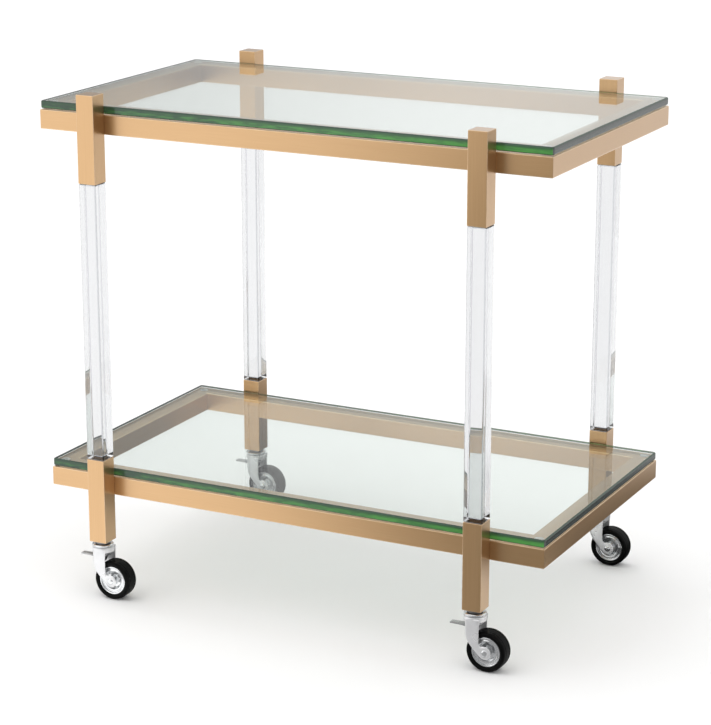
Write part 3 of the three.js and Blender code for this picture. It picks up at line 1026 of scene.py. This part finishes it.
for corner in CORNERS:
    legs = []
    for side in (-1, 1):
        leg = cut_plate(leg_outline(), 2 * LEG_ROLL, LEG_ROLL)
        flatten = (1, LEG_THICKNESS / (2 * LEG_ROLL), 1)
        bmesh.ops.scale(leg, vec=flatten, verts=leg.verts)
        legs.append(moved(leg, (0, side * (LEG_INSIDE + LEG_THICKNESS / 2), 0)))
    cup = turned_shape(soft_corners(CUP_PROFILE, 0.8), 72, "Z")
    fork = moved(joined(cup, *legs), post_foot(corner))
    make_piece(
        f"{corner}_fork_horn",
        fork,
        [satin_silver],
        f"{corner}_swivel_fork",
        [f"{corner}_fork"],
    )

# ------------------------------------------------------------------ axles
# A polished steel rivet that goes through both legs and the hub. Its low domed heads are set cold
# on the outside of the legs, so it can't turn or come out.
AXLE_PROFILE = (
    (0.0, -18.9),
    (2.6, -18.7),
    (4.6, -17.9),
    (5.5, -16.9),
    (3.0, -16.8),
    (3.0, 16.8),
    (5.5, 16.9),
    (4.6, 17.9),
    (2.6, 18.7),
    (0.0, 18.9),
)

for corner in CORNERS:
    low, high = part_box(f"{corner}_axle")
    axle = moved(turned_shape(soft_corners(AXLE_PROFILE, 0.4), 48, "Y"), (low + high) / 2)
    make_piece(
        f"{corner}_axle_rivet",
        axle,
        [polished_chrome],
        f"{corner}_swivel_fork",
        [f"{corner}_axle"],
    )

# ------------------------------------------------------------------ wheels
# The hub is two chromed steel pressings back to back, with a rolled rim, a step and a deep dish
# round the bearing. A black rubber tyre with square shoulders is stretched over it.
HUB_HALF = (
    (3.1, 13.6),
    (6.2, 13.6),
    (6.9, 12.6),
    (7.1, 5.2),
    (8.2, 3.8),
    (11.4, 3.6),
    (13.4, 5.4),
    (15.0, 9.3),
    (17.4, 9.7),
    (18.4, 8.9),
    (19.6, 8.9),
    (20.6, 10.7),
    (22.0, 11.2),
    (23.0, 10.4),
)
TYRE_HALF = (
    (23.3, 10.6),
    (24.2, 11.8),
    (25.2, 12.7),
    (26.6, 13.0),
    (28.2, 12.9),
    (29.6, 12.2),
    (30.5, 10.6),
    (30.9, 8.6),
    (31.0, 6.6),
    (30.3, 6.3),
    (30.3, 5.7),
    (31.0, 5.4),
    (31.0, 0.4),
)
RUBBER_BLACK = (0.0015, 0.0015, 0.0015, 1)
RUBBER_DUSTY = (0.005, 0.005, 0.005, 1)
RUBBER_SCUFFED = (0.018, 0.018, 0.018, 1)
RUBBER_GRIT = 0.08 * MM


def both_halves(half):
    """Closes a half profile with its own mirror image across the wheel's middle plane."""
    return list(half) + [(radius, -height) for radius, height in reversed(half)]


def black_rubber():
    """Moulded rubber with a fine grit, grey dust in patches and scuffed shoulders."""
    material, nodes, links, shader, output = new_material("black_rubber")
    where = nodes.new("ShaderNodeTexCoord")
    grit = nodes.new("ShaderNodeTexNoise")
    grit.inputs["Scale"].default_value = 1500.0
    grit.inputs["Detail"].default_value = 3.0
    dust = nodes.new("ShaderNodeTexNoise")
    dust.inputs["Scale"].default_value = 60.0
    dust.inputs["Detail"].default_value = 5.0
    edge_patches = place_group(nodes, wear_and_highlight_group)
    links.new(sharp_rims(nodes, links), edge_patches.inputs["Edge"])
    for node in (grit, dust, edge_patches):
        links.new(where.outputs["Object"], node.inputs["Vector"])
    dusty = ranged(nodes, links, dust.outputs["Fac"], 0.0, 0.6, 0.45, 0.8)
    rubber = mixed(nodes, links, dusty, RUBBER_BLACK, RUBBER_DUSTY)
    scuffed = mixed(nodes, links, edge_patches.outputs["Patched Edge"], rubber, RUBBER_SCUFFED)
    links.new(scuffed, shader.inputs["Base Color"])
    links.new(ranged(nodes, links, dust.outputs["Fac"], 0.35, 0.6), shader.inputs["Roughness"])
    bumped(nodes, links, shader, grit.outputs["Fac"], 0.35, RUBBER_GRIT)
    shader.inputs["Specular IOR Level"].default_value = 0.08
    return material


rubber = black_rubber()

for corner in CORNERS:
    low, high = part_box(f"{corner}_tyre")
    centre = (low + high) / 2
    hub = moved(turned_shape(soft_corners(both_halves(HUB_HALF), 0.35), 96, "Y"), centre)
    make_piece(
        f"{corner}_wheel_centre",
        hub,
        [polished_chrome],
        f"{corner}_wheel",
        [f"{corner}_hub"],
    )
    tyre = moved(turned_shape(soft_corners(both_halves(TYRE_HALF), 0.35), 96, "Y"), centre)
    make_piece(
        f"{corner}_rubber_tyre", tyre, [rubber], f"{corner}_wheel", [f"{corner}_tyre"]
    )

# ------------------------------------------------------------------ foot brakes
# A pressed steel lever on a cross pin in each fork. Its flat tab sticks out in front with grip
# ribs across it, and its other end is the shoe that bears on the tyre.
LEVER_WIDTH = 16 * MM
TAB_TOP = 66
TAPER_FROM = -9 * MM
TAPER_TO = -22 * MM
TAB_SHARE = 0.62
LEVER_OUTLINE = (
    (-38.3, TAB_TOP - 2.2),
    (-14, TAB_TOP - 2),
    (-10, TAB_TOP - 3),
    (-4.0, 51.6),
    (-1.4, 54.2),
    (1.4, 56.8),
    (5, 67),
    (9, 66.9),
    (12.8, 71),
    (9, 74.8),
    (3, 73),
    (-14, TAB_TOP + 0.6),
    (-38.3, TAB_TOP),
)
LEVER_ROLL = 0.5 * MM
RIB_PLACES = (-36, -33, -30, -27)
RIB_SIZE = (1.2 * MM, 13 * MM, 1.0 * MM)
RIB_EDGE = 0.3 * MM
PIN_PLACE = (9 * MM, 0, 71 * MM)
PIN_PROFILE = (
    (0, -16.2),
    (2.3, -16.2),
    (2.5, -15.9),
    (2.5, 15.9),
    (2.3, 16.2),
    (0, 16.2),
)


def straight_sides(corners):
    """Gives each corner handles a third of the way to its neighbours, so the sides stay straight."""
    sides = []
    count = len(corners)
    for i, corner in enumerate(corners):
        here = Vector(corner)
        before = here.lerp(Vector(corners[i - 1]), 1 / 3)
        after = here.lerp(Vector(corners[(i + 1) % count]), 1 / 3)
        sides.append((here, before, after))
    return sides


dull_zinc = plated_steel(
    "dull_zinc", (0.48, 0.485, 0.49, 1), (0.36, 0.365, 0.37, 1), 0.3, 0.5, 700.0
)

for corner in CORNERS:
    parts = [cut_plate(straight_sides(LEVER_OUTLINE), LEVER_WIDTH, LEVER_ROLL)]
    for place in RIB_PLACES:
        rib = block_shape(*RIB_SIZE)
        bevel_edges(rib, rib.edges[:], RIB_EDGE, 2)
        parts.append(moved(rib, (place * MM, 0, TAB_TOP * MM)))
    for part in parts:
        for vert in part.verts:
            along = (TAPER_FROM - vert.co.x) / (TAPER_FROM - TAPER_TO)
            vert.co.y *= 1 - (1 - TAB_SHARE) * min(max(along, 0), 1)
    parts.append(moved(turned_shape(PIN_PROFILE, 32, "Y"), PIN_PLACE))
    lever = moved(joined(*parts), post_foot(corner))
    make_piece(
        f"{corner}_brake_pedal",
        lever,
        [dull_zinc],
        f"{corner}_brake",
        [f"{corner}_brake_lever"],
    )
